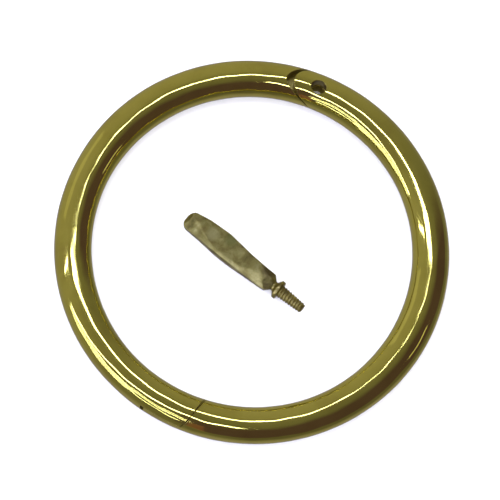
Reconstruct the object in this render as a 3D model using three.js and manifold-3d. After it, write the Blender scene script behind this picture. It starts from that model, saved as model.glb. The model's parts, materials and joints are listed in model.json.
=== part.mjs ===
// Hinged brass nose ring for cattle. Two half rings of round wire turn on a riveted hinge and close
// in a half lap. The loose locking screw, with its flat break-off handle, lies inside the hoop.
// Units are millimetres. The ring lies flat, +Z is up and Z = 0 is the surface that it lies on.
// The origin is the centre of the hoop, and angles run anticlockwise from +X seen from above.

import * as THREE from "three";
import { mergeVertices } from "three/addons/utils/BufferGeometryUtils.js";
import Module from "manifold-3d";

const wasm = await Module();
wasm.setup();

const radians = THREE.MathUtils.degToRad;

// ---- Driving dimensions ----

// The ring
const OUTER_DIAMETER = 76.2;
const WIRE_DIAMETER = 7.14;
const WIRE_SIDES = 24;
const RING_SEGMENTS = 120;

// The riveted hinge: the right half's tongue turns in the left half's fork
const HINGE_ANGLE = 242;
const FORK_END_RADIUS = 5.3;
const FORK_END_LEAN = 7;
const SHOULDER_GAP = 0.3;
const TONGUE_THICKNESS = 2.3;
const TONGUE_SIDE_CLEARANCE = 0.15;
const TONGUE_REACH = 3.75;
const SLOT_RADIUS = 5.3;
const RIVET_RADIUS = 1.2;
const RIVET_CLEARANCE = 0.07;

// The half lap: each half ends in a round-nosed lap, over or under the other half's lap
const LAP_ANGLE = 68.4;
const LAP_REACH = 5.0;
const LAP_NOSE_LENGTH = 5.0;
const LAP_NOSE_ROOM = 0.05;
const LAP_END_GAP = 1.4;
const LAP_FACE_GAP = 0.3;
const SCREW_HOLE_RADIUS = 1.4;
const THREADED_HOLE_RADIUS = 1.1;
const COUNTERSINK_RADIUS = 1.7;
const COUNTERSINK_DEPTH = 0.35;
const COUNTERSINK_TOP = 1;

// The locking screw. Lengths run along its axis from the handle's free end.
const SCREW_START = 21.75;
const FLANGE_START = 22.05;
const FLANGE_END = 23.1;
const FLANGE_BEVEL = 0.2;
const THREAD_END = 28.4;
const SCREW_END = 28.7;
const BOSS_RADIUS = 0.98;
const FLANGE_BACK_RADIUS = 1.75;
const FLANGE_RADIUS = 1.93;
const THREAD_RADIUS = 1.3;
const THREAD_END_RADIUS = 1.1;
const THREAD_DEPTH = 0.28;
const THREAD_PITCH = 0.6;
const THREAD_ROOT_WIDTH = 0.1;
const SCREW_SIDES = 20;

// The break-off handle, a flat casting that is one piece with the screw until its neck is snapped
const NECK_GAP = 0.3;
const HANDLE_END = SCREW_START - NECK_GAP;
const HANDLE_REST = 2.5;
const HANDLE_REST_DEPTH = 1.25;

// Where the locking piece lies: its free end, the way it points, and a hair's breadth under it
const PIECE_START = new THREE.Vector2(-12.4, 7.06);
const PIECE_DIRECTION = -39.3;
const PIECE_LIFT = 0.02;

// ---- Worked out from those ----

const WIRE_RADIUS = WIRE_DIAMETER / 2;
const RING_RADIUS = OUTER_DIAMETER / 2 - WIRE_RADIUS;
const MID_HEIGHT = WIRE_RADIUS;
const BEYOND = 3;
const FAR = OUTER_DIAMETER;
const PLAN_STEPS = 16;
const PLAN_MARGIN = 20;

// ---- Geometry helpers ----

function solidFrom(geometry) {
  const bare = geometry.clone();
  bare.deleteAttribute("normal");
  bare.deleteAttribute("uv");
  const merged = mergeVertices(bare, 1e-4);
  const corners = merged.index.array;
  const kept = [];
  for (let i = 0; i < corners.length; i += 3) {
    const [a, b, c] = [corners[i], corners[i + 1], corners[i + 2]];
    if (a !== b && b !== c && c !== a) kept.push(a, b, c);
  }
  return new wasm.Manifold(new wasm.Mesh({
    numProp: 3,
    vertProperties: new Float32Array(merged.attributes.position.array),
    triVerts: new Uint32Array(kept),
  }));
}

function geometryFrom(solid) {
  const { vertProperties, triVerts } = solid.getMesh();
  const geometry = new THREE.BufferGeometry();
  geometry.setAttribute("position", new THREE.BufferAttribute(vertProperties, 3));
  geometry.setIndex(new THREE.BufferAttribute(triVerts, 1));
  geometry.computeVertexNormals();
  return geometry;
}

// A solid of an outline seen from above, between two heights
function prism(points, low, high) {
  const geometry = new THREE.ExtrudeGeometry(new THREE.Shape(points), {
    depth: high - low,
    bevelEnabled: false,
  });
  geometry.translate(0, 0, low);
  return solidFrom(geometry);
}

// An upright round bar or cone at a place on the plan
function post(centre, lowRadius, highRadius, low, high) {
  const geometry = new THREE.CylinderGeometry(highRadius, lowRadius, high - low, WIRE_SIDES);
  geometry.rotateX(Math.PI / 2);
  geometry.translate(centre.x, centre.y, (low + high) / 2);
  return solidFrom(geometry);
}

function polar(radius, angle) {
  return new THREE.Vector2(radius * Math.cos(angle), radius * Math.sin(angle));
}

// The plan's own coordinates at the hinge: along the wire towards the right half, and outwards
const HINGE_PLACE = polar(RING_RADIUS, radians(HINGE_ANGLE));

function atHinge(along, outward) {
  const forwards = polar(along, radians(HINGE_ANGLE + 90));
  return polar(outward, radians(HINGE_ANGLE)).add(forwards).add(HINGE_PLACE);
}

// The plan's own coordinates at the lap: round the wire towards the left half, and outwards
function atLap(along, outward) {
  return polar(RING_RADIUS + outward, radians(LAP_ANGLE) + along / RING_RADIUS);
}

// ---- Seams, each from the inside of the hoop to the outside ----

// The fork's end is straight on the inside and an arc about the rivet on the outside
function hingeSeam(radius) {
  const lean = radians(FORK_END_LEAN);
  const turn = polar(radius, lean);
  const inner = atHinge(turn.x + BEYOND * WIRE_RADIUS * Math.sin(lean),
    turn.y - BEYOND * WIRE_RADIUS * Math.cos(lean));
  const seam = [inner];
  const steps = 12;
  for (let i = 0; i <= steps; i += 1) {
    const point = polar(radius, lean + (Math.PI / 2 - lean) * i / steps);
    seam.push(atHinge(point.x, point.y));
  }
  seam.push(atHinge(0, BEYOND * WIRE_RADIUS));
  return seam;
}

// A round nose: an ellipse as wide as the wire, reaching to the given place along the wire.
// side is 1 where the nose points towards the left half, and -1 where it points to the right half.
function noseSeam(reach, side) {
  const middle = reach - LAP_NOSE_LENGTH;
  const seam = [atLap(side * middle, -BEYOND * WIRE_RADIUS)];
  const steps = 20;
  for (let i = 0; i <= steps; i += 1) {
    const turn = Math.PI * (i / steps - 0.5);
    const along = middle + LAP_NOSE_LENGTH * Math.cos(turn);
    seam.push(atLap(side * along, (WIRE_RADIUS + LAP_NOSE_ROOM) * Math.sin(turn)));
  }
  seam.push(atLap(side * middle, BEYOND * WIRE_RADIUS));
  return seam;
}

// The plan of one half, round the outside from its lap seam to its hinge seam
function halfPlan(lapSeam, hingeSeamPoints, turn) {
  const outside = [];
  const start = radians(LAP_ANGLE + Math.sign(turn) * PLAN_MARGIN);
  for (let i = 0; i <= PLAN_STEPS; i += 1) {
    outside.push(polar(FAR, start + radians(turn) * i / PLAN_STEPS));
  }
  return [...lapSeam, ...outside, ...hingeSeamPoints.slice().reverse()];
}

// ---- The ring's parts ----

// A whole ring of round wire, which every part of it is cut from
function wholeRing() {
  const section = [];
  const corner = WIRE_RADIUS / Math.cos(Math.PI / WIRE_SIDES);
  for (let i = 0; i <= WIRE_SIDES; i += 1) {
    const turn = 2 * Math.PI * ((i % WIRE_SIDES) + 0.5) / WIRE_SIDES;
    section.push(new THREE.Vector2(RING_RADIUS + corner * Math.cos(turn), corner * Math.sin(turn)));
  }
  const geometry = new THREE.LatheGeometry(section, RING_SEGMENTS);
  geometry.rotateX(Math.PI / 2);
  geometry.translate(0, 0, MID_HEIGHT);
  return solidFrom(geometry);
}

function rivetBore() {
  const radius = (RIVET_RADIUS + RIVET_CLEARANCE) / Math.cos(Math.PI / WIRE_SIDES);
  return post(HINGE_PLACE, radius, radius, -BEYOND, WIRE_DIAMETER + BEYOND);
}

// The fork's slot, open towards the right half, with a round bottom that clears the tongue's corners
function slotPlan() {
  const plan = [atHinge(WIRE_DIAMETER, -SLOT_RADIUS), atHinge(WIRE_DIAMETER, SLOT_RADIUS)];
  const steps = 20;
  for (let i = 0; i <= steps; i += 1) {
    const point = polar(SLOT_RADIUS, Math.PI / 2 + Math.PI * i / steps);
    plan.push(atHinge(point.x, point.y));
  }
  return plan;
}

function leftHalf(ring) {
  const turn = HINGE_ANGLE - LAP_ANGLE - 2 * PLAN_MARGIN;
  const seam = hingeSeam(FORK_END_RADIUS);
  const body = prism(halfPlan(noseSeam(LAP_REACH + LAP_END_GAP, 1), seam, turn),
    -BEYOND, WIRE_DIAMETER + BEYOND);
  const lap = prism(halfPlan(noseSeam(LAP_REACH, -1), seam, turn),
    -BEYOND, MID_HEIGHT - LAP_FACE_GAP / 2);
  const halfSlot = TONGUE_THICKNESS / 2 + TONGUE_SIDE_CLEARANCE;
  const slot = prism(slotPlan(), MID_HEIGHT - halfSlot, MID_HEIGHT + halfSlot);
  const hole = post(atLap(0, 0), THREADED_HOLE_RADIUS, THREADED_HOLE_RADIUS,
    -BEYOND, MID_HEIGHT + BEYOND);
  return ring.intersect(body.add(lap)).subtract(slot).subtract(hole).subtract(rivetBore());
}

// The tongue's plan, from inside the shoulder to its square end behind the rivet
function tonguePlan() {
  return [
    atHinge(FORK_END_RADIUS + BEYOND, WIRE_DIAMETER),
    atHinge(FORK_END_RADIUS + BEYOND, -WIRE_DIAMETER),
    atHinge(-TONGUE_REACH, -WIRE_DIAMETER),
    atHinge(-TONGUE_REACH, WIRE_DIAMETER),
  ];
}

function rightHalf(ring) {
  const turn = HINGE_ANGLE - 360 - LAP_ANGLE + 2 * PLAN_MARGIN;
  const seam = hingeSeam(FORK_END_RADIUS + SHOULDER_GAP);
  const body = prism(halfPlan(noseSeam(LAP_REACH + LAP_END_GAP, -1), seam, turn),
    -BEYOND, WIRE_DIAMETER + BEYOND);
  const lap = prism(halfPlan(noseSeam(LAP_REACH, 1), seam, turn),
    MID_HEIGHT + LAP_FACE_GAP / 2, WIRE_DIAMETER + BEYOND);
  const tongue = prism(tonguePlan(),
    MID_HEIGHT - TONGUE_THICKNESS / 2, MID_HEIGHT + TONGUE_THICKNESS / 2);
  const hole = post(atLap(0, 0), SCREW_HOLE_RADIUS, SCREW_HOLE_RADIUS,
    MID_HEIGHT - BEYOND, WIRE_DIAMETER + BEYOND);
  const spread = (COUNTERSINK_RADIUS - SCREW_HOLE_RADIUS) / COUNTERSINK_DEPTH;
  const countersink = post(atLap(0, 0), SCREW_HOLE_RADIUS, COUNTERSINK_RADIUS + spread * COUNTERSINK_TOP,
    WIRE_DIAMETER - COUNTERSINK_DEPTH, WIRE_DIAMETER + COUNTERSINK_TOP);
  return ring.intersect(body.add(lap).add(tongue))
    .subtract(hole).subtract(countersink).subtract(rivetBore());
}

// The rivet is peened and ground flush, so its ends follow the wire
function hingeRivet(ring) {
  return ring.intersect(post(HINGE_PLACE, RIVET_RADIUS, RIVET_RADIUS,
    -BEYOND, WIRE_DIAMETER + BEYOND));
}

// ---- The locking piece, along +X from its free end, with its flat sides facing up and down ----

function lockingScrew() {
  const profile = [
    new THREE.Vector2(0, SCREW_START),
    new THREE.Vector2(BOSS_RADIUS, SCREW_START),
    new THREE.Vector2(FLANGE_BACK_RADIUS, FLANGE_START),
    new THREE.Vector2(FLANGE_RADIUS, FLANGE_END - FLANGE_BEVEL),
    new THREE.Vector2(FLANGE_RADIUS, FLANGE_END),
  ];
  const ridges = Math.floor((THREAD_END - FLANGE_END) / THREAD_PITCH);
  for (let i = 0; i < ridges; i += 1) {
    const along = FLANGE_END + THREAD_PITCH * i;
    const crest = THREE.MathUtils.lerp(THREAD_RADIUS, THREAD_END_RADIUS, i / ridges);
    profile.push(new THREE.Vector2(crest - THREAD_DEPTH, along + (i === 0 ? 0 : THREAD_ROOT_WIDTH)));
    profile.push(new THREE.Vector2(crest, along + THREAD_PITCH / 2));
  }
  profile.push(new THREE.Vector2(THREAD_END_RADIUS - THREAD_DEPTH, THREAD_END));
  profile.push(new THREE.Vector2(THREAD_END_RADIUS - THREAD_DEPTH, SCREW_END));
  profile.push(new THREE.Vector2(0, SCREW_END));
  const geometry = new THREE.LatheGeometry(profile, SCREW_SIDES);
  geometry.rotateZ(-Math.PI / 2);
  return solidFrom(geometry);
}

// The handle's outline from above: rounded free end, fuller left edge, square end, tapered neck
function handlePlan() {
  const neck = BOSS_RADIUS;
  const plan = new THREE.Shape();
  plan.moveTo(HANDLE_END, -neck);
  plan.lineTo(HANDLE_END, neck);
  plan.lineTo(19.9, 1.95);
  plan.bezierCurveTo(14.5, 2.1, 10.5, 2.75, 7.5, 2.6);
  plan.bezierCurveTo(5, 2.5, 2.4, 2.3, 0.9, 1.75);
  plan.quadraticCurveTo(0.1, 1.2, 0, 0.2);
  plan.quadraticCurveTo(0, -1.3, 1.1, -1.75);
  plan.bezierCurveTo(4, -2.15, 8, -2.2, 10, -2.15);
  plan.quadraticCurveTo(15, -2.0, 19.7, -1.85);
  return plan;
}

// The handle's outline from the side: a thick blade, thinner at both ends
function handleSide() {
  const neck = BOSS_RADIUS;
  const side = new THREE.Shape();
  side.moveTo(HANDLE_END, -neck);
  side.lineTo(HANDLE_END, neck);
  side.lineTo(20, 1.3);
  side.quadraticCurveTo(10, 1.6, 2, 1.3);
  side.quadraticCurveTo(0.2, 1.1, 0, 0.5);
  side.lineTo(0, -0.6);
  side.quadraticCurveTo(0.4, -1.1, HANDLE_REST, -HANDLE_REST_DEPTH);
  side.lineTo(19.8, -1.3);
  return side;
}

function breakOffHandle() {
  const settings = { bevelEnabled: false, curveSegments: 8 };
  const flat = new THREE.ExtrudeGeometry(handlePlan(), { depth: WIRE_DIAMETER, ...settings });
  flat.translate(0, 0, -WIRE_RADIUS);
  const edgeways = new THREE.ExtrudeGeometry(handleSide(), { depth: WIRE_DIAMETER, ...settings });
  edgeways.translate(0, 0, -WIRE_RADIUS);
  edgeways.rotateX(Math.PI / 2);
  return solidFrom(flat).intersect(solidFrom(edgeways));
}

// ---- The assembly ----

const polishedBrass = new THREE.MeshStandardMaterial({ color: 0xa89a45, roughness: 0.22, metalness: 1 });
const rivetBrass = new THREE.MeshStandardMaterial({ color: 0xa29142, roughness: 0.26, metalness: 1 });
const turnedBrass = new THREE.MeshStandardMaterial({ color: 0x9c8f42, roughness: 0.32, metalness: 1 });
const castBrass = new THREE.MeshStandardMaterial({ color: 0x938a3e, roughness: 0.38, metalness: 1 });

function piece(name, solid, material) {
  const mesh = new THREE.Mesh(geometryFrom(solid), material);
  mesh.name = name;
  return mesh;
}

const ring = wholeRing();

// The locking piece lies on the rim of its flange and the underside of its handle
const lockingPiece = new THREE.Group();
const drop = FLANGE_RADIUS - HANDLE_REST_DEPTH;
const pitch = Math.atan2(drop, FLANGE_END - HANDLE_REST);
const startHeight = HANDLE_REST_DEPTH * Math.cos(pitch) - HANDLE_REST * Math.sin(pitch);
lockingPiece.position.set(PIECE_START.x, PIECE_START.y, startHeight + PIECE_LIFT);
lockingPiece.rotation.set(0, -pitch, radians(PIECE_DIRECTION), "ZYX");
lockingPiece.add(piece("locking_screw", lockingScrew(), turnedBrass));
lockingPiece.add(piece("break_off_handle", breakOffHandle(), castBrass));

const noseRing = new THREE.Group();
noseRing.add(piece("left_half", leftHalf(ring), polishedBrass));
noseRing.add(piece("right_half", rightHalf(ring), polishedBrass));
noseRing.add(piece("hinge_rivet", hingeRivet(ring), rivetBrass));
noseRing.add(lockingPiece);

export default noseRing;
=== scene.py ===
"""Looks for a hinged brass nose ring with its loose locking screw and break-off handle.

The two half rings, the rivet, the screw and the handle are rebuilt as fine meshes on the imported
model's own bodies. Lengths are metres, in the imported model's frame.
"""

import json
import math

import bmesh
import bpy
import numpy as np
from mathutils import Matrix, Vector, noise


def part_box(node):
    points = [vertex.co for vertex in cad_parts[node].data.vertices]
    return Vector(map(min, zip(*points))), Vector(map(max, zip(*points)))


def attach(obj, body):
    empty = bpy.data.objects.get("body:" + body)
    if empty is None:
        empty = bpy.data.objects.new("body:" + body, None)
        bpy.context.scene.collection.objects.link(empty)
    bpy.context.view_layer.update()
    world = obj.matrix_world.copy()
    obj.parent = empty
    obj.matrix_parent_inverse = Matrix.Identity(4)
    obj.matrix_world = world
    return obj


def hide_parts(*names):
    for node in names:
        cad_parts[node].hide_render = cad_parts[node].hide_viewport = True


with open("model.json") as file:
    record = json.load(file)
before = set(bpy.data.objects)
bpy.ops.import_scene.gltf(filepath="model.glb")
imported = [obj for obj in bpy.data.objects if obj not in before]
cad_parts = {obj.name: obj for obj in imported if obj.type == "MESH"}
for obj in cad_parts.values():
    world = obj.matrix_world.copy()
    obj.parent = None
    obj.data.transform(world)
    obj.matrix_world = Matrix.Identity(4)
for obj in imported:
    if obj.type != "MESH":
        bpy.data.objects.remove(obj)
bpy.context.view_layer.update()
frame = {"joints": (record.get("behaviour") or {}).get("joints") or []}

MM = 0.001
JOINTS = {joint["name"]: joint for joint in frame["joints"]}

# ---- The ring's sizes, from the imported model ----
ring_low, ring_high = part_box("right_half")
WIRE_RADIUS = (ring_high.z - ring_low.z) / 2
RING_RADIUS = ring_high.x - WIRE_RADIUS
MID_HEIGHT = WIRE_RADIUS
HINGE = Vector(JOINTS["ring_hinge"]["pos_m"])
HINGE_ANGLE = math.atan2(HINGE.y, HINGE.x)
rivet_low, rivet_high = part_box("hinge_rivet")
RIVET_RADIUS = (rivet_high.x - rivet_low.x) / 2

# ---- The ring's details ----
AROUND_WIRE = 96
AROUND_RING = 720
# How far cutting tools reach past what they cut, upwards and on plan
BEYOND = 3 * MM
FAR_OUT = 3 * WIRE_RADIUS
PLAN_STEPS = 24
PLAN_MARGIN = math.radians(20)

FORK_END_RADIUS = 5.3 * MM
FORK_END_LEAN = math.radians(7)
SHOULDER_GAP = 0.11 * MM
TONGUE_HALF = 1.15 * MM
SLOT_CLEARANCE = 0.06 * MM
TONGUE_REACH = 3.55 * MM
SLOT_RADIUS = 5.3 * MM
RIVET_GAP = 0.015 * MM
TONGUE_BORE_GAP = 0.04 * MM

LAP_ANGLE = math.radians(68.4)
LAP_REACH = 5.0 * MM
LAP_NOSE_LENGTH = 5.0 * MM
LAP_NOSE_ROOM = 0.05 * MM
LAP_END_GAP = 1.4 * MM
LAP_FACE_GAP = 0.10 * MM
SCREW_HOLE_RADIUS = 1.4 * MM
COUNTERSINK_RADIUS = 1.62 * MM
COUNTERSINK_DEPTH = 0.22 * MM
# The wire is worn a little hollow about the screw hole
DISH_DEPTH = 0.10 * MM
DISH_LENGTH = 2.6 * MM
DISH_WIDTH = 2.2 * MM
DISH_TURN = math.radians(98)
EDGE_CHAMFER = 0.09 * MM
# The lap's eased edges stop short of the wire's widest line
NOSE_PATH_MARGIN = 0.02
CREASE_ANGLE = math.radians(32)
# A face lies on the wire's surface if its corners are this close and it faces the same way
ON_WIRE_DISTANCE = 0.006 * MM
SAME_WAY = 0.9

# The wire is hand finished: long shallow waves, as (depth, waves round the ring, waves round the
# wire, start)
WIRE_WAVES = (
    (0.042 * MM, 2, 2, 0.9),
    (0.020 * MM, 5, -2, 2.6),
    (0.012 * MM, 4, 3, 4.4),
    (0.0070 * MM, 9, -4, 5.1),
    (0.0050 * MM, 17, 6, 0.4),
    (0.0034 * MM, 27, -9, 2.2),
    (0.0026 * MM, 37, 13, 3.3),
)

# ---- The locking piece's sizes, along its axis from the neck ----
NECK_RADIUS = 0.98 * MM
PIECE_PITCH = math.radians(1.8906)
HANDLE_LENGTH = 21.6 * MM
FLANGE_END = 1.5 * MM
FLANGE_RADIUS = 1.93 * MM
THREAD_END = 6.85 * MM
SCREW_END = 7.1 * MM
THREAD_RADIUS = 1.28 * MM
THREAD_END_RADIUS = 1.0 * MM
THREAD_DEPTH = 0.16 * MM
THREAD_PITCH = 0.6 * MM
THREAD_SHARPNESS = 1.3
THREAD_CLEARANCE = 0.03 * MM
THREAD_START = FLANGE_END + 0.14 * MM
CORE_RADIUS = THREAD_END_RADIUS - THREAD_DEPTH
# The screw's outline on each side of its thread, as distance from the neck and radius
SCREW_HEAD = (
    (0, NECK_RADIUS),
    (0.14 * MM, NECK_RADIUS * 1.01),
    (0.26 * MM, NECK_RADIUS * 1.08),
    (0.40 * MM, NECK_RADIUS * 1.26),
    (0.66 * MM, 1.66 * MM),
    (0.78 * MM, FLANGE_RADIUS - 0.07 * MM),
    (0.84 * MM, FLANGE_RADIUS - 0.01 * MM),
    (0.90 * MM, FLANGE_RADIUS),
    (FLANGE_END - 0.16 * MM, FLANGE_RADIUS),
    (FLANGE_END - 0.10 * MM, FLANGE_RADIUS - 0.01 * MM),
    (FLANGE_END - 0.03 * MM, FLANGE_RADIUS - 0.08 * MM),
    (FLANGE_END, FLANGE_RADIUS - 0.17 * MM),
    (FLANGE_END + 0.02 * MM, THREAD_RADIUS + 0.10 * MM),
    (FLANGE_END + 0.08 * MM, THREAD_RADIUS - 0.02 * MM),
)
SCREW_TIP = (
    (THREAD_END + 0.04 * MM, CORE_RADIUS + 0.04 * MM),
    (SCREW_END - 0.08 * MM, CORE_RADIUS - 0.04 * MM),
    (SCREW_END - 0.02 * MM, CORE_RADIUS - 0.12 * MM),
    (SCREW_END, CORE_RADIUS - 0.26 * MM),
)

# The handle's outline, from its free end: distance along it, upper edge and lower edge on plan,
# and top and bottom heights, in mm
HANDLE_SHAPE = (
    (0.00, 0.30, -1.00, 0.40, -0.40),
    (0.12, 0.72, -1.32, 0.72, -0.70),
    (0.35, 1.14, -1.62, 0.98, -0.92),
    (0.72, 1.55, -1.92, 1.12, -1.05),
    (1.20, 1.74, -2.05, 1.20, -1.15),
    (4.08, 2.29, -2.10, 1.34, -1.24),
    (8.93, 2.53, -2.45, 1.46, -1.28),
    (11.55, 2.26, -2.42, 1.46, -1.28),
    (14.43, 1.95, -2.26, 1.42, -1.26),
    (17.60, 1.86, -2.06, 1.34, -1.22),
    (20.10, 1.98, -1.88, 1.26, -1.18),
    (20.45, 1.98, -1.82, 1.22, -1.14),
    (21.30, 1.10, -1.06, 1.02, -1.00),
    (21.45, 0.98, -0.98, 0.98, -0.98),
    (21.60, 0.98, -0.98, 0.98, -0.98),
)
HANDLE_SQUARENESS = 6.0
HANDLE_STATIONS = 300
HANDLE_AROUND = 128
# Stations crowd together at both ends of the handle by this share of its length
END_CROWDING = 0.06
# Towards the neck the handle turns round, its flats end and its cast skin fades out, in mm
ROUND_FROM = 20.3
ROUND_OVER = 1.1
FLATS_END = 21.2
SKIN_FADE = 0.8
# Each flat on the handle's top, as three points of its plane: along, across and up, in mm
HANDLE_FLATS = (
    ((0.90, -0.20, 1.20), (15.00, -1.70, 1.46), (8.90, 2.50, 1.02)),
    ((0.90, 0.05, 1.16), (8.60, -1.95, 1.42), (1.30, -2.00, 0.30)),
    ((11.40, -2.05, 1.44), (19.20, -0.80, 1.32), (19.20, -1.95, 0.45)),
    ((19.20, -0.80, 1.32), (20.80, 0.00, 1.14), (20.20, -1.80, 0.45)),
    ((15.70, 1.88, 1.12), (20.80, 0.72, 1.10), (20.20, 1.90, 0.15)),
    ((0.45, 1.20, 1.02), (0.95, 0.00, 1.14), (0.10, -0.40, 0.35)),
)

# The handle's cast skin: noise scales and depths, and the rough places where its feeder broke off,
# as middle along and across, half length and half width in mm, and strength
GRAIN_SCALE = 900
GRAIN_DEPTH = 0.016 * MM
SWELL_SCALE = 210
SWELL_DEPTH = 0.055 * MM
ROUGH_SCALE = 1500
ROUGH_DEPTH = 0.17 * MM
ROUGH_PLACES = (
    (6.3, 0.35, 1.9, 0.75, 1),
    (11.6, 0.1, 2.4, 0.6, 0.45),
)

# ---- Mesh helpers ----

def new_object(name, vertices, faces):
    mesh = bpy.data.meshes.new(name)
    mesh.from_pydata([tuple(v) for v in vertices], [], faces)
    mesh.validate()
    made = bpy.data.objects.new(name, mesh)
    bpy.context.scene.collection.objects.link(made)
    return made


def face_outwards(made):
    mesh = bmesh.new()
    mesh.from_mesh(made.data)
    bmesh.ops.recalc_face_normals(mesh, faces=mesh.faces)
    mesh.to_mesh(made.data)
    mesh.free()
    return made


def grid_object(name, rows, closed_rows=False):
    """A tube through rows of points, capped at both ends unless the rows close on themselves."""
    rows = np.asarray(rows)
    count, around = rows.shape[:2]
    faces = []
    for i in range(count if closed_rows else count - 1):
        for j in range(around):
            k = (j + 1) % around
            m = (i + 1) % count
            faces.append((i * around + j, i * around + k, m * around + k, m * around + j))
    if not closed_rows:
        faces.append(tuple(range(around)))
        faces.append(tuple(range((count - 1) * around, count * around)))
    return face_outwards(new_object(name, rows.reshape(-1, 3), faces))


def prism(points, low, high):
    rows = [[(x, y, z) for x, y in points] for z in (low, high)]
    return grid_object("cutter", rows)


def post(centre, low_radius, high_radius, low, high, sides=64):
    rows = []
    for radius, z in ((low_radius, low), (high_radius, high)):
        rows.append([
            (centre[0] + radius * math.cos(turn), centre[1] + radius * math.sin(turn), z)
            for turn in np.linspace(0, 2 * math.pi, sides, endpoint=False)
        ])
    return grid_object("cutter", rows)


def combine(target, tool, operation):
    """Cuts or joins with a tool, which is used up."""
    modifier = target.modifiers.new("combine", "BOOLEAN")
    modifier.operation = operation
    modifier.solver = "MANIFOLD"
    modifier.object = tool
    bpy.context.view_layer.update()
    depsgraph = bpy.context.evaluated_depsgraph_get()
    mesh = bpy.data.meshes.new_from_object(target.evaluated_get(depsgraph))
    target.modifiers.clear()
    old = target.data
    target.data = mesh
    bpy.data.meshes.remove(old)
    bpy.data.objects.remove(tool)
    return target


def smooth(made, angle=CREASE_ANGLE):
    made.data.polygons.foreach_set("use_smooth", [True] * len(made.data.polygons))
    made.data.set_sharp_from_angle(angle=angle)


# ---- The plan of the seams ----

def polar(radius, angle):
    return np.array((radius * math.cos(angle), radius * math.sin(angle)))


def at_hinge(along, outward):
    """A place on the plan, from the rivet: along the wire to the right half, and outwards."""
    place = polar(along, HINGE_ANGLE + math.pi / 2) + polar(outward, HINGE_ANGLE)
    return place + np.array(HINGE.xy)


def at_lap(along, outward):
    """A place on the plan, from the screw hole: round the wire to the left half, and outwards."""
    return polar(RING_RADIUS + outward, LAP_ANGLE + along / RING_RADIUS)


def hinge_seam(radius):
    """The fork's end: straight on the inside of the hoop, an arc about the rivet on the outside."""
    turn = polar(radius, FORK_END_LEAN)
    seam = [at_hinge(turn[0] + FAR_OUT * math.sin(FORK_END_LEAN),
                     turn[1] - FAR_OUT * math.cos(FORK_END_LEAN))]
    for angle in np.linspace(FORK_END_LEAN, math.pi / 2, 40):
        seam.append(at_hinge(*polar(radius, angle)))
    seam.append(at_hinge(0, FAR_OUT))
    return seam


def nose_reach(outward, end_gap):
    """How far a nose, or the seat that faces it, reaches along the wire at this far outwards."""
    share = min(1, abs(outward) / (WIRE_RADIUS + LAP_NOSE_ROOM))
    middle = LAP_REACH - LAP_NOSE_LENGTH
    seat = end_gap * (1 - share ** 2) + LAP_FACE_GAP if end_gap else 0
    return middle + LAP_NOSE_LENGTH * math.sqrt(1 - share * share) + seat * (2 - share) / 2


def nose_seam(side, end_gap, steps=96):
    """A round nose, or its seat. side is 1 where it points to the left half, -1 to the right."""
    half_width = WIRE_RADIUS + LAP_NOSE_ROOM
    seam = [at_lap(side * nose_reach(half_width, end_gap), -FAR_OUT)]
    for turn in np.linspace(-math.pi / 2, math.pi / 2, steps):
        outward = half_width * math.sin(turn)
        seam.append(at_lap(side * nose_reach(outward, end_gap), outward))
    seam.append(at_lap(side * nose_reach(half_width, end_gap), FAR_OUT))
    return seam


def half_plan(lap_seam, end_seam, start, turn):
    """The ground that a half ring covers, from its seam at the lap to its seam at the hinge."""
    outside = [polar(2 * RING_RADIUS, start + turn * i / PLAN_STEPS) for i in range(PLAN_STEPS + 1)]
    return lap_seam + outside + end_seam[::-1]


# ---- The wire ----

def wire_offset(around_ring, around_wire):
    """How far the wire's surface stands out from a true round, by the angles round ring and wire."""
    waves = sum(depth * np.cos(m * around_ring + n * around_wire + start)
                for depth, m, n, start in WIRE_WAVES)
    along = (around_ring - LAP_ANGLE) * RING_RADIUS / DISH_LENGTH
    across = (np.abs(around_wire) - DISH_TURN) * WIRE_RADIUS / DISH_WIDTH
    return waves - DISH_DEPTH * np.exp(-along ** 2 - across ** 2)


def whole_ring():
    ring_turns = np.linspace(0, 2 * math.pi, AROUND_RING, endpoint=False)
    wire_turns = np.linspace(0, 2 * math.pi, AROUND_WIRE, endpoint=False)
    ring, wire = np.meshgrid(ring_turns, wire_turns, indexing="ij")
    radius = WIRE_RADIUS + wire_offset(ring, wire)
    reach = RING_RADIUS + radius * np.cos(wire)
    rows = np.stack((reach * np.cos(ring), reach * np.sin(ring),
                     MID_HEIGHT + radius * np.sin(wire)), axis=-1)
    return grid_object("ring", rows, closed_rows=True)


def wire_surface(points):
    """How far each point is from the wire's surface, and the surface's normal there."""
    ring = np.arctan2(points[:, 1], points[:, 0])
    reach = np.hypot(points[:, 0], points[:, 1])
    wire = np.arctan2(points[:, 2] - MID_HEIGHT, reach - RING_RADIUS)
    radius = np.hypot(points[:, 2] - MID_HEIGHT, reach - RING_RADIUS)
    step = 1e-4
    rise_ring = (wire_offset(ring + step, wire) - wire_offset(ring - step, wire)) / (2 * step * reach)
    rise_wire = (wire_offset(ring, wire + step) - wire_offset(ring, wire - step)) / (
        2 * step * WIRE_RADIUS)
    outward = np.stack((np.cos(ring), np.sin(ring), np.zeros_like(ring)), axis=-1)
    forward = np.stack((-np.sin(ring), np.cos(ring), np.zeros_like(ring)), axis=-1)
    up = np.array((0.0, 0.0, 1.0))
    normal = outward * np.cos(wire)[:, None] + up * np.sin(wire)[:, None]
    round_wire = -outward * np.sin(wire)[:, None] + up * np.cos(wire)[:, None]
    normal = normal - forward * rise_ring[:, None] - round_wire * rise_wire[:, None]
    normal /= np.linalg.norm(normal, axis=1)[:, None]
    return np.abs(radius - WIRE_RADIUS - wire_offset(ring, wire)), normal


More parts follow.
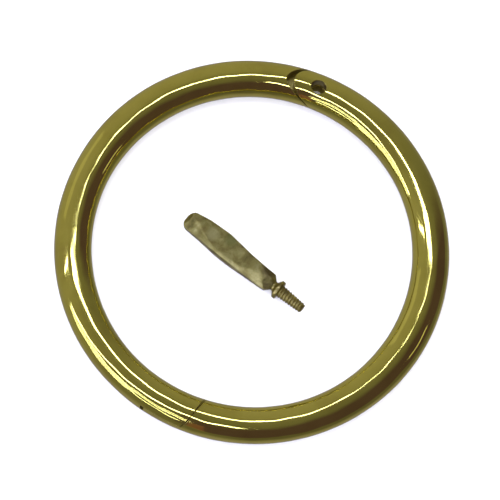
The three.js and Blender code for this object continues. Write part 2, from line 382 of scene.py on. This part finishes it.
def polish_normals(made):
    """Gives each face on the wire's surface the surface's own normals, and cut faces slot 1."""
    smooth(made)
    mesh = made.data
    points = np.zeros(len(mesh.vertices) * 3)
    mesh.vertices.foreach_get("co", points)
    points = points.reshape(-1, 3)
    distance, wire_normals = wire_surface(points)
    corners = np.zeros(len(mesh.loops) * 3)
    mesh.corner_normals.foreach_get("vector", corners)
    corners = corners.reshape(-1, 3)
    for polygon in mesh.polygons:
        indices = list(polygon.vertices)
        on_wire = distance[indices].max() < ON_WIRE_DISTANCE
        if not on_wire or np.dot(wire_normals[indices[0]], polygon.normal) < SAME_WAY:
            polygon.material_index = 1
            continue
        corners[polygon.loop_start:polygon.loop_start + polygon.loop_total] = wire_normals[indices]
    mesh.normals_split_custom_set([tuple(n) for n in corners])


def wire_groove(path):
    """A V-shaped bar along a path on the wire's surface, to take the sharp edge off a seam."""
    path = np.array(path)
    ring, wire = path[:, 0], path[:, 1]
    reach = RING_RADIUS + WIRE_RADIUS * np.cos(wire)
    points = np.stack((reach * np.cos(ring), reach * np.sin(ring),
                       MID_HEIGHT + WIRE_RADIUS * np.sin(wire)), axis=-1)
    normals = np.stack((np.cos(wire) * np.cos(ring), np.cos(wire) * np.sin(ring),
                        np.sin(wire)), axis=-1)
    tangents = np.gradient(points, axis=0)
    tangents /= np.linalg.norm(tangents, axis=1)[:, None]
    sides = np.cross(normals, tangents)
    sides /= np.linalg.norm(sides, axis=1)[:, None]
    width = EDGE_CHAMFER + SHOULDER_GAP / 2
    rows = np.stack((points + sides * width, points + normals * width,
                     points - sides * width, points - normals * width), axis=1)
    return grid_object("groove", rows)


# ---- The half rings ----

def slot_plan():
    plan = [at_hinge(2 * WIRE_RADIUS, -SLOT_RADIUS), at_hinge(2 * WIRE_RADIUS, SLOT_RADIUS)]
    for turn in np.linspace(math.pi / 2, 3 * math.pi / 2, 48):
        plan.append(at_hinge(*polar(SLOT_RADIUS, turn)))
    return plan


def tongue_plan():
    far = FORK_END_RADIUS + BEYOND
    wide = 2 * WIRE_RADIUS
    return [at_hinge(far, wide), at_hinge(far, -wide),
            at_hinge(-TONGUE_REACH, -wide), at_hinge(-TONGUE_REACH, wide)]


def thread_rows(radius, end_radius, depth, start, end, pitch, around=96, per_turn=20):
    """Rows of points down a right-hand thread along +Z, full depth from end to end."""
    turns = np.linspace(0, 2 * math.pi, around, endpoint=False)
    rows = []
    for z in np.linspace(start, end, int((end - start) / pitch * per_turn) + 1):
        share = (z - start) / (end - start)
        crest = radius + (end_radius - radius) * share
        phase = 2 * math.pi * (z - start) / pitch - turns
        reach = crest - depth * (0.5 - 0.5 * np.cos(phase)) ** THREAD_SHARPNESS
        rows.append(np.stack((reach * np.cos(turns), reach * np.sin(turns),
                              np.full(around, z)), axis=-1))
    return rows


def threaded_hole():
    """The tap that cuts the left lap's hole, standing at the lap."""
    radius = THREAD_RADIUS + THREAD_CLEARANCE
    rows = thread_rows(radius, radius, THREAD_DEPTH, -BEYOND, MID_HEIGHT + BEYOND, THREAD_PITCH)
    x, y = at_lap(0, 0)
    return grid_object("tap", np.array(rows) + np.array((x, y, 0)))


def rivet_bore(gap):
    return post(HINGE.xy, RIVET_RADIUS + gap, RIVET_RADIUS + gap,
                -BEYOND, 2 * MID_HEIGHT + BEYOND, sides=96)


def seam_path(seam, low_turn, high_turn, steps=80):
    """Where a plan seam crosses the wire, as angles round the ring and round the wire."""
    seam = np.array(seam)
    radii = np.hypot(seam[:, 0], seam[:, 1])
    angles = np.unwrap(np.arctan2(seam[:, 1], seam[:, 0]))
    path = []
    for wire in np.linspace(low_turn, high_turn, steps):
        path.append((np.interp(RING_RADIUS + WIRE_RADIUS * math.cos(wire), radii, angles), wire))
    return path


def cut_grooves(half):
    """Eases the edges of the hinge seam and of the lap, above and below."""
    cheek = math.asin(TONGUE_HALF / WIRE_RADIUS)
    seam = hinge_seam(FORK_END_RADIUS + SHOULDER_GAP / 2)
    for side in (1, -1):
        path = seam_path(seam, side * cheek, side * (math.pi - cheek))
        combine(half, wire_groove(path), "DIFFERENCE")
    for side in (1, -1):
        for end_gap in (0, LAP_END_GAP):
            combine(half, wire_groove(nose_path(side, end_gap)), "DIFFERENCE")
    return half


def nose_path(side, end_gap, steps=90):
    """A nose's edge, from outside the hoop to inside: over the wire's top if side is 1, or under."""
    path = []
    for wire in np.linspace(NOSE_PATH_MARGIN, math.pi - NOSE_PATH_MARGIN, steps):
        along = nose_reach(WIRE_RADIUS * math.cos(wire), end_gap)
        path.append((LAP_ANGLE + side * along / RING_RADIUS, side * wire))
    return path


def left_half():
    """The half with the fork and, under the right half's, the lap with the threaded hole."""
    turn = HINGE_ANGLE % (2 * math.pi) - LAP_ANGLE - 2 * PLAN_MARGIN
    start = LAP_ANGLE + PLAN_MARGIN
    seam = hinge_seam(FORK_END_RADIUS)
    top = 2 * MID_HEIGHT + BEYOND
    block = prism(half_plan(nose_seam(1, LAP_END_GAP), seam, start, turn), -BEYOND, top)
    lap = prism(half_plan(nose_seam(-1, 0), seam, start, turn),
                -BEYOND, MID_HEIGHT - LAP_FACE_GAP / 2)
    combine(block, lap, "UNION")
    half = combine(whole_ring(), block, "INTERSECT")
    gap = TONGUE_HALF + SLOT_CLEARANCE
    combine(half, prism(slot_plan(), MID_HEIGHT - gap, MID_HEIGHT + gap), "DIFFERENCE")
    combine(half, rivet_bore(RIVET_GAP), "DIFFERENCE")
    combine(half, threaded_hole(), "DIFFERENCE")
    return cut_grooves(half)


def right_half():
    """The half with the tongue and the upper lap, with the screw hole."""
    turn = HINGE_ANGLE % (2 * math.pi) - 2 * math.pi - LAP_ANGLE + 2 * PLAN_MARGIN
    start = LAP_ANGLE - PLAN_MARGIN
    seam = hinge_seam(FORK_END_RADIUS + SHOULDER_GAP)
    top = 2 * MID_HEIGHT + BEYOND
    block = prism(half_plan(nose_seam(-1, LAP_END_GAP), seam, start, turn), -BEYOND, top)
    lap = prism(half_plan(nose_seam(1, 0), seam, start, turn),
                MID_HEIGHT + LAP_FACE_GAP / 2, top)
    combine(block, lap, "UNION")
    combine(block, prism(tongue_plan(), MID_HEIGHT - TONGUE_HALF, MID_HEIGHT + TONGUE_HALF), "UNION")
    half = combine(whole_ring(), block, "INTERSECT")
    combine(half, rivet_bore(TONGUE_BORE_GAP), "DIFFERENCE")
    hole = at_lap(0, 0)
    combine(half, post(hole, SCREW_HOLE_RADIUS, SCREW_HOLE_RADIUS, MID_HEIGHT - BEYOND / 3, top),
            "DIFFERENCE")
    spread = (COUNTERSINK_RADIUS - SCREW_HOLE_RADIUS) / COUNTERSINK_DEPTH
    combine(half, post(hole, SCREW_HOLE_RADIUS, COUNTERSINK_RADIUS + spread * MM,
                       2 * MID_HEIGHT - COUNTERSINK_DEPTH, 2 * MID_HEIGHT + MM), "DIFFERENCE")
    return cut_grooves(half)


def hinge_rivet():
    return combine(whole_ring(), rivet_bore(0), "INTERSECT")


# ---- The locking piece, made along +Z from the neck and then laid where the model has it ----

def piece_placing():
    """The locking piece's own axes in the frame: along it, across it and up, from the neck."""
    snap = JOINTS["handle_snap"]
    across = Vector(snap["axis"]).normalized()
    level = across.cross(Vector((0, 0, 1)))
    along = level * math.cos(PIECE_PITCH) + Vector((0, 0, math.sin(PIECE_PITCH)))
    up = along.cross(across)
    neck = Vector(snap["pos_m"]) - up * NECK_RADIUS
    return Matrix((
        (across.x, up.x, along.x, neck.x),
        (across.y, up.y, along.y, neck.y),
        (across.z, up.z, along.z, neck.z),
        (0, 0, 0, 1),
    ))


def revolve(profile, around=96):
    turns = np.linspace(0, 2 * math.pi, around, endpoint=False)
    return [np.stack((radius * np.cos(turns), radius * np.sin(turns), np.full(around, z)), axis=-1)
            for z, radius in profile]


def locking_screw():
    rows = revolve(SCREW_HEAD)
    rows += thread_rows(THREAD_RADIUS, THREAD_END_RADIUS, THREAD_DEPTH,
                        THREAD_START, THREAD_END, THREAD_PITCH)
    rows += revolve(SCREW_TIP)
    return grid_object("locking_screw_fine", rows)


def cast_height(place):
    """The handle's cast skin: fine grain all over, and rough where its feeder broke off."""
    grain = noise.fractal(place * GRAIN_SCALE, 0.7, 2.1, 4) * GRAIN_DEPTH
    swell = noise.noise(place * SWELL_SCALE) * SWELL_DEPTH
    rough = noise.fractal(place * ROUGH_SCALE, 0.6, 2.2, 4) * ROUGH_DEPTH
    along, across = place.z / MM, place.x / MM
    share = 0
    for middle, side, half_length, half_width, strength in ROUGH_PLACES:
        away = ((along - middle) / half_length) ** 2 + ((across - side) / half_width) ** 2
        share += strength * math.exp(-away)
    return grain + swell + rough * share


def flat_height(flat, along, across):
    """The height of a flat's plane above one place on the handle."""
    first, second, third = (Vector(corner) for corner in flat)
    normal = (second - first).cross(third - first)
    slope = (Vector((along, across, 0)) - Vector((first.x, first.y, 0))).dot(
        Vector((normal.x, normal.y, 0)))
    return first.z - slope / normal.z


def handle_row(along, length, upper, lower, top, bottom):
    """The handle's section at one station: a soft oblong, cut by the flats and round at the neck."""
    roundness = min(1, max(0, (along - ROUND_FROM) / ROUND_OVER))
    power = 2 / (HANDLE_SQUARENESS + (2 - HANDLE_SQUARENESS) * roundness)
    fade = min(1, (length - along) / SKIN_FADE)
    row = []
    for turn in np.linspace(0, 2 * math.pi, HANDLE_AROUND, endpoint=False):
        share_x = math.copysign(abs(math.cos(turn)) ** power, math.cos(turn))
        share_y = math.copysign(abs(math.sin(turn)) ** power, math.sin(turn))
        across = (upper + lower) / 2 + (upper - lower) / 2 * share_x
        up = (top if share_y > 0 else -bottom) * share_y
        if along < FLATS_END:
            up = min([up] + [flat_height(flat, along, across) for flat in HANDLE_FLATS])
        place = Vector((across, up, along - length)) * MM
        sample = Vector((across, up, along)) * MM
        outward = Vector((share_x / 2, share_y, 0)).normalized()
        row.append(place + outward * cast_height(sample) * fade)
    return row


def break_off_handle():
    """Rows of points along +Z, up to the neck, with x across and y up."""
    shape = np.array(HANDLE_SHAPE)
    length = shape[-1, 0]
    steps = np.linspace(0, 1, HANDLE_STATIONS)
    stations = length * (steps - END_CROWDING * np.sin(2 * math.pi * steps))
    table = np.stack([np.interp(stations, shape[:, 0], column) for column in shape.T[1:]], axis=1)
    rows = [handle_row(along, length, *sizes) for along, sizes in zip(stations, table)]
    return grid_object("break_off_handle_fine", rows)


# ---- Materials ----

# The Mix node's colour sockets, among all those that it keeps for its other kinds
MIX_FIRST = 6
MIX_SECOND = 7
MIX_RESULT = 2
TONE_STOPS = (0.32, 0.5, 0.68)
STAIN_STRENGTH = 0.75
# A stain is full as far out as this share of its radius
STAIN_MIDDLE = 0.45
PIT_FINENESS = 2.4


def node(tree, kind, **values):
    made = tree.nodes.new(kind)
    for key, value in values.items():
        if key in made.inputs:
            made.inputs[key].default_value = value
        else:
            setattr(made, key, value)
    return made


def noise_texture(tree, place, scale, detail, roughness=0.55, distortion=0.0):
    texture = node(tree, "ShaderNodeTexNoise", Scale=scale, Detail=detail, Roughness=roughness,
                   Distortion=distortion)
    tree.links.new(place, texture.inputs["Vector"])
    return texture.outputs["Fac"]


def ramp(tree, value, *stops):
    """Colours along a value, each stop as (position, colour)."""
    made = tree.nodes.new("ShaderNodeValToRGB")
    elements = made.color_ramp.elements
    while len(elements) < len(stops):
        elements.new(0.5)
    for element, (position, colour) in zip(elements, stops):
        element.position = position
        element.color = (*colour, 1)
    tree.links.new(value, made.inputs["Fac"])
    return made.outputs["Color"]


def spread(tree, value, low, high, new_low, new_high):
    """A value moved from one range to another, and held inside it."""
    made = node(tree, "ShaderNodeMapRange")
    for name, number in (("From Min", low), ("From Max", high),
                         ("To Min", new_low), ("To Max", new_high)):
        made.inputs[name].default_value = number
    tree.links.new(value, made.inputs["Value"])
    return made.outputs["Result"]


def mix_colour(tree, share, first, second, blend="MIX"):
    made = node(tree, "ShaderNodeMix", data_type="RGBA", blend_type=blend)
    tree.links.new(share, made.inputs["Factor"])
    for socket, colour in ((made.inputs[MIX_FIRST], first), (made.inputs[MIX_SECOND], second)):
        if isinstance(colour, tuple):
            socket.default_value = (*colour, 1)
        else:
            tree.links.new(colour, socket)
    return made.outputs[MIX_RESULT]


def stain(tree, place, colour, spot, radius, tint):
    """A soft bloom of another colour about one spot."""
    away = node(tree, "ShaderNodeVectorMath", operation="DISTANCE")
    away.inputs[1].default_value = spot
    tree.links.new(place, away.inputs[0])
    bloom = spread(tree, away.outputs["Value"], radius * STAIN_MIDDLE, radius, STAIN_STRENGTH, 0)
    return mix_colour(tree, bloom, colour, tint)


def add_bump(tree, height, strength, distance, before=None):
    made = node(tree, "ShaderNodeBump", Strength=strength, Distance=distance)
    tree.links.new(height, made.inputs["Height"])
    if before is not None:
        tree.links.new(before, made.inputs["Normal"])
    return made.outputs["Normal"]


def brass(name, tones, roughness, cloud_scale, grain, stains=()):
    """Brass: tones from dark to light, uneven polish, fine grain and small dark pits.

    roughness is its lowest and highest, grain is (scale, bump depth), and each stain is
    (place, radius, colour).
    """
    material = bpy.data.materials.new(name)
    material.use_nodes = True
    tree = material.node_tree
    shader = tree.nodes["Principled BSDF"]
    shader.inputs["Metallic"].default_value = 1
    place = tree.nodes.new("ShaderNodeTexCoord").outputs["Object"]
    cloud = noise_texture(tree, place, cloud_scale, detail=5, roughness=0.6, distortion=0.4)
    colour = ramp(tree, cloud, *zip(TONE_STOPS, tones))
    scale, depth = grain
    fine = noise_texture(tree, place, scale, detail=6, roughness=0.65)
    pits = noise_texture(tree, place, scale * PIT_FINENESS, detail=2, roughness=0.5)
    speck = spread(tree, pits, 0.66, 0.74, 0, 0.5)
    colour = mix_colour(tree, speck, colour, tones[0], "MULTIPLY")
    for spot, radius, tint in stains:
        colour = stain(tree, place, colour, spot, radius, tint)
    tree.links.new(colour, shader.inputs["Base Color"])
    tree.links.new(spread(tree, fine, 0.3, 0.7, *roughness), shader.inputs["Roughness"])
    soft = add_bump(tree, cloud, strength=0.25, distance=depth * 4)
    sharp = add_bump(tree, fine, strength=0.6, distance=depth, before=soft)
    tree.links.new(sharp, shader.inputs["Normal"])
    return material


def dress(made, *materials):
    made.data.materials.clear()
    for material in materials:
        made.data.materials.append(material)


# ---- Stage: a pale floor that sweeps up, long lamps and a dim room ----

SWEEP_FLAT = 0.9
SWEEP_BEND = 0.5
SWEEP_HEIGHT = 1.4
SWEEP_AROUND = 96
# The wire's waves dip a little under the model's underside, so the floor is that much lower
SWEEP_DROP = 0.07 * MM
PALE = (0.9, 0.9, 0.89)

# The soft panel that lights the floor
PANEL_SIZE = 2.4
PANEL_HEIGHT = 1.1
PANEL_POWER = 30

WHITE = (1, 1, 1)
COOL_WHITE = (0.92, 0.96, 1.70)
# Two long lamps overhead, one of them in two lengths, a lamp to the right, a paler stretch of the
# far wall and a red door. Each: name, middle, how far it runs from the middle to one end, width,
# brightness and colour
LAMPS = (
    ("near_tube", (-0.560, 0.088, 0.370), (0.260, 0, 0), 0.016, 14.0, COOL_WHITE),
    ("near_tube_end", (-0.050, 0.081, 0.370), (0.090, 0, 0), 0.023, 10.0, COOL_WHITE),
    ("far_tube", (-0.760, -0.200, 0.370), (0.760, -0.030, 0), 0.022, 11.0, COOL_WHITE),
    ("right_spot", (0.72, -0.20, 0.24), (0, 0.08, 0), 0.05, 1.0, WHITE),
    ("far_wall", (-0.55, 0.42, 0.24), (0, 0, 0.14), 0.35, 0.12, WHITE),
    ("red_door", (-0.21, -0.62, 0.12), (0, 0, 0.20), 0.075, 0.11, (1.0, 0.34, 0.20)),
)
# The gaps of a window's blind, all as wide as each other. Each: bearing and height of its middle,
# in degrees, half length, and brightness
BLIND_DISTANCE = 0.75
BLIND_GAP = 0.019
BLIND = (
    (205, 4.5, 0.24, 6.5),
    (216, 11, 0.40, 9.0),
    (206, 18.5, 0.26, 9.5),
    (224, 25, 0.30, 8.5),
    (236, 32, 0.14, 6.0),
)

# The room's walls brighten towards one bearing, as (share, colour). They are dark about another
# bearing, between two heights, and the room's floor is even
LIT_BEARING = math.radians(130)
WALL_TONES = (
    (0.10, (0.125, 0.118, 0.130)),
    (0.50, (0.185, 0.178, 0.185)),
    (0.72, (0.300, 0.285, 0.290)),
    (1.0, (0.345, 0.325, 0.340)),
)
DARK_BEARING = math.radians(316)
DARK_TONE = (0.085, 0.055, 0.10)
FLOOR_TONE = (0.30, 0.285, 0.36)


def sweep_profile():
    """The floor's section past its middle point: flat, a quarter bend and a wall."""
    profile = [(SWEEP_FLAT, 0.0)]
    for turn in np.linspace(0.1, math.pi / 2, 16):
        profile.append((SWEEP_FLAT + SWEEP_BEND * math.sin(turn), SWEEP_BEND * (1 - math.cos(turn))))
    profile.append((SWEEP_FLAT + SWEEP_BEND, SWEEP_HEIGHT))
    return profile


def studio_sweep():
    profile = sweep_profile()
    around = SWEEP_AROUND
    turns = np.linspace(0, 2 * math.pi, around, endpoint=False)
    vertices = [(0, 0, 0)]
    for radius, z in profile:
        vertices += [(radius * math.cos(t), radius * math.sin(t), z) for t in turns]
    faces = [(0, 1 + j, 1 + (j + 1) % around) for j in range(around)]
    for i in range(len(profile) - 1):
        for j in range(around):
            k = (j + 1) % around
            faces.append((1 + i * around + j, 1 + (i + 1) * around + j,
                          1 + (i + 1) * around + k, 1 + i * around + k))
    sweep = new_object("studio_sweep", vertices, faces)
    sweep.location.z = -SWEEP_DROP
    smooth(sweep)
    dress(sweep, pale_paint())
    sweep.visible_glossy = False


def pale_paint():
    material = bpy.data.materials.new("pale_sweep")
    material.use_nodes = True
    shader = material.node_tree.nodes["Principled BSDF"]
    shader.inputs["Base Color"].default_value = (*PALE, 1)
    shader.inputs["Roughness"].default_value = 0.9
    shader.inputs["Specular IOR Level"].default_value = 0.1
    return material


def lamp(name, middle, run, width, brightness, colour):
    """A long flat lamp that faces the model and that the camera doesn't see."""
    run = Vector(run)
    data = bpy.data.lights.new(name, "AREA")
    data.shape = "RECTANGLE"
    data.color = colour
    data.size = width
    data.size_y = 2 * run.length
    data.energy = brightness * math.pi * data.size * data.size_y
    made = bpy.data.objects.new(name, data)
    bpy.context.scene.collection.objects.link(made)
    middle = Vector(middle)
    long_way = run.normalized()
    away = (middle - long_way * middle.dot(long_way)).normalized()
    across = long_way.cross(away)
    made.matrix_world = Matrix((
        (across.x, long_way.x, away.x, middle.x),
        (across.y, long_way.y, away.y, middle.y),
        (across.z, long_way.z, away.z, middle.z),
        (0, 0, 0, 1),
    ))
    made.visible_camera = False


def facing(tree, direction, bearing):
    """How nearly a direction points at a bearing, from -1 to 1."""
    toward = node(tree, "ShaderNodeVectorMath", operation="DOT_PRODUCT")
    toward.inputs[1].default_value = (math.cos(bearing), math.sin(bearing), 0)
    tree.links.new(direction, toward.inputs[0])
    return toward.outputs["Value"]


def flattened(tree, direction):
    """A direction's bearing, as a level direction."""
    level = node(tree, "ShaderNodeVectorMath", operation="MULTIPLY")
    level.inputs[1].default_value = (1, 1, 0)
    tree.links.new(direction, level.inputs[0])
    bearing = node(tree, "ShaderNodeVectorMath", operation="NORMALIZE")
    tree.links.new(level.outputs["Vector"], bearing.inputs[0])
    return bearing.outputs["Vector"]


def product(tree, first, second):
    made = node(tree, "ShaderNodeMath", operation="MULTIPLY")
    tree.links.new(first, made.inputs[0])
    tree.links.new(second, made.inputs[1])
    return made.outputs["Value"]


def room():
    """A plain dim room: walls that are paler on one side and dark on another, and an even floor."""
    world = bpy.data.worlds.new("room")
    bpy.context.scene.world = world
    world.use_nodes = True
    tree = world.node_tree
    direction = tree.nodes.new("ShaderNodeTexCoord").outputs["Generated"]
    parts = tree.nodes.new("ShaderNodeSeparateXYZ")
    tree.links.new(direction, parts.inputs["Vector"])
    height = parts.outputs["Z"]
    lit = spread(tree, facing(tree, direction, LIT_BEARING), -1, 1, 0, 1)
    colour = ramp(tree, lit, *WALL_TONES)
    colour = mix_colour(tree, spread(tree, height, -0.75, -0.40, 1, 0), colour, FLOOR_TONE)
    side = spread(tree, facing(tree, flattened(tree, direction), DARK_BEARING), 0.22, 0.44, 0, 1)
    above = spread(tree, height, -0.14, -0.06, 0, 1)
    below = spread(tree, height, 0.74, 0.92, 1, 0)
    dark = product(tree, product(tree, side, above), below)
    colour = mix_colour(tree, dark, colour, DARK_TONE)
    tree.links.new(colour, tree.nodes["Background"].inputs["Color"])


def sky_panel():
    """A great soft panel that lights the pale floor and doesn't show in the brass."""
    data = bpy.data.lights.new("sky_panel", "AREA")
    data.shape = "DISK"
    data.size = PANEL_SIZE
    data.energy = PANEL_POWER
    made = bpy.data.objects.new("sky_panel", data)
    bpy.context.scene.collection.objects.link(made)
    made.location.z = PANEL_HEIGHT
    made.visible_glossy = False
    made.visible_camera = False


def blind_lamps():
    """One long lamp for each gap in the blind."""
    for number, (bearing, height, half_length, brightness) in enumerate(BLIND):
        away = Vector((math.cos(math.radians(bearing)), math.sin(math.radians(bearing)), 0))
        middle = away * math.cos(math.radians(height))
        middle.z = math.sin(math.radians(height))
        run = Vector((-away.y, away.x, 0)) * half_length
        lamp(f"blind_{number}", middle * BLIND_DISTANCE, run, BLIND_GAP, brightness, COOL_WHITE)


# ---- Camera: high over the ring, leaning back towards the near side, with a long lens ----

CAMERA_HEIGHT = math.radians(74.65)
CAMERA_SIDE = math.radians(14)
CAMERA_DISTANCE = 0.800
CAMERA_LENS = 299.2
SENSOR_WIDTH = 36
CLIP_START = 0.01
# Where the ring's middle sits in the view, from the view's own middle
RING_RIGHT = 0.443 * MM
RING_UP = -0.077 * MM


def camera():
    data = bpy.data.cameras.new("camera")
    data.lens = CAMERA_LENS
    data.sensor_width = SENSOR_WIDTH
    data.clip_start = CLIP_START
    made = bpy.data.objects.new("camera", data)
    bpy.context.scene.collection.objects.link(made)
    flat = math.cos(CAMERA_HEIGHT)
    back = Vector((-math.sin(CAMERA_SIDE) * flat, -math.cos(CAMERA_SIDE) * flat,
                   math.sin(CAMERA_HEIGHT)))
    right = Vector((0, 1, 0)).cross(back).normalized()
    up = back.cross(right)
    spot = Vector((0, 0, MID_HEIGHT)) - right * RING_RIGHT - up * RING_UP + back * CAMERA_DISTANCE
    made.matrix_world = Matrix((
        (right.x, up.x, back.x, spot.x),
        (right.y, up.y, back.y, spot.y),
        (right.z, up.z, back.z, spot.z),
        (0, 0, 0, 1),
    ))
    bpy.context.scene.camera = made
    bpy.context.scene.view_settings.view_transform = "Standard"


# ---- Everything together ----

camera()
studio_sweep()
room()
for settings in LAMPS:
    lamp(*settings)
blind_lamps()
sky_panel()

placing = piece_placing()


def on_handle(along, across, up):
    """A place on the handle as the model has it, from its free end, in mm."""
    return tuple(placing @ Vector((across * MM, up * MM, along * MM - HANDLE_LENGTH)))


ring_brass = brass("ring_brass", ((0.66, 0.575, 0.105), (0.74, 0.665, 0.12), (0.78, 0.70, 0.135)),
                   (0.05, 0.11), 110, (2600, 0.0005 * MM))
cut_brass = brass("cut_brass", ((0.40, 0.33, 0.08), (0.52, 0.44, 0.11), (0.60, 0.52, 0.14)),
                  (0.32, 0.48), 700, (5200, 0.006 * MM))
screw_brass = brass("screw_brass", ((0.30, 0.24, 0.07), (0.48, 0.41, 0.12), (0.70, 0.62, 0.20)),
                    (0.30, 0.42), 500, (4200, 0.0008 * MM))
handle_brass = brass("handle_brass", ((0.20, 0.17, 0.045), (0.38, 0.33, 0.09), (0.58, 0.53, 0.18)),
                     (0.30, 0.44), 420, (2600, 0.014 * MM),
                     ((on_handle(19.2, 1.7, 0.9), 2.1 * MM, (0.13, 0.095, 0.045)),
                      (on_handle(9.6, 1.7, 1.0), 1.7 * MM, (0.21, 0.215, 0.05)),
                      (on_handle(6.2, 0.2, 1.3), 1.5 * MM, (0.62, 0.58, 0.22))))

# The pieces of the ring. Each: name, maker, body, the node that it replaces, and slot
pieces = (
    ("left_half_fine", left_half, "left", "left_half", "ring_brass"),
    ("right_half_fine", right_half, "right", "right_half", "ring_brass"),
    ("hinge_rivet_fine", hinge_rivet, "left", "hinge_rivet", "rivet_brass"),
)
for name, build, body, cad_node, slot in pieces:
    made = build()
    made.name = name
    dress(made, ring_brass, cut_brass)
    polish_normals(made)
    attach(made, body)
    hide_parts(cad_node)

# The pieces of the locking screw. Each: maker, material, crease angle, body, node and slot
locking_pieces = (
    (locking_screw, screw_brass, math.radians(40), "screw", "locking_screw", "screw_brass"),
    (break_off_handle, handle_brass, math.radians(28), "handle", "break_off_handle", "handle_brass"),
)
for build, material, crease, body, cad_node, slot in locking_pieces:
    made = build()
    made.data.transform(placing)
    face_outwards(made)
    smooth(made, crease)
    dress(made, material)
    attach(made, body)
    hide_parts(cad_node)
